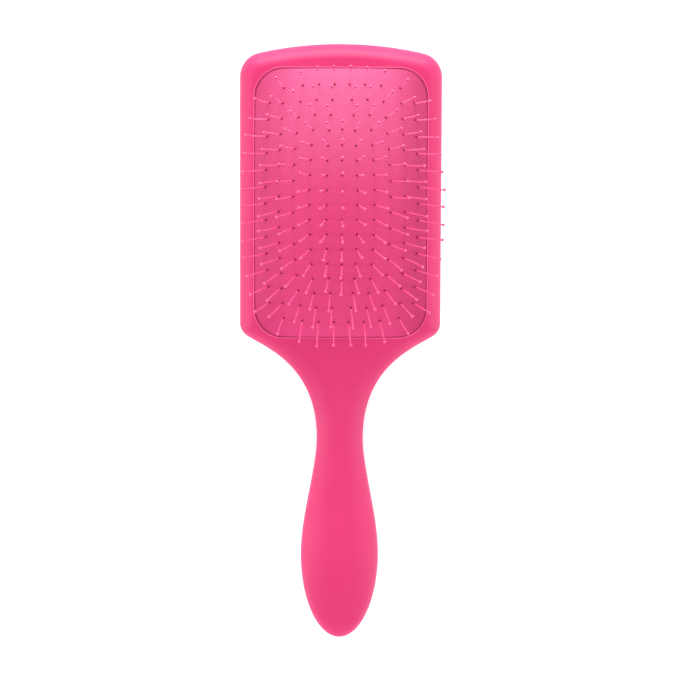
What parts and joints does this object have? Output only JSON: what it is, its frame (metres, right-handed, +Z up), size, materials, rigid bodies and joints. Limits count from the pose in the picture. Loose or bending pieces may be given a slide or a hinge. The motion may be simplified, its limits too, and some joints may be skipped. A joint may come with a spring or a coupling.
{
  "type": "paddle brush",
  "caption": "Paddle hair brush: broad flat head, waisted rounded handle, and an air cushion with rows of ball-tipped pins that sink when pressed.",
  "frame": {"origin": "on the flat back of the head, under the middle of the cushion", "axes": "+Z up out of the cushion along the middle pin, +Y to the head's far end, the handle towards -Y"},
  "size_m": [0.0896, 0.2626, 0.045],
  "materials": {
    "soft_touch_body": "matte soft-touch coating",
    "cushion_rubber": "matte with a fine woven relief",
    "pin_nylon": "slightly translucent, glossy tips"
  },
  "bodies": {
    "handle": {"paddle_body": "soft_touch_body", "cushion": "cushion_rubber"},
    "pin_field": {"pin_strip_centre": "pin_nylon", "pin_strip_first_left": "pin_nylon", "pin_strip_first_right": "pin_nylon", "pin_strip_second_left": "pin_nylon", "pin_strip_second_right": "pin_nylon", "pin_strip_third_left": "pin_nylon", "pin_strip_third_right": "pin_nylon", "pin_strip_fourth_left": "pin_nylon", "pin_strip_fourth_right": "pin_nylon", "pin_strip_outer_left": "pin_nylon", "pin_strip_outer_right": "pin_nylon"}
  },
  "joints": [
    {"name": "cushion_press", "type": "slide", "parent": "handle", "child": "pin_field", "axis": [0, 0, -1], "range_m": [0, 0.004], "stiffness_N_per_m": 900, "deforming": ["cushion"]}
  ]
}
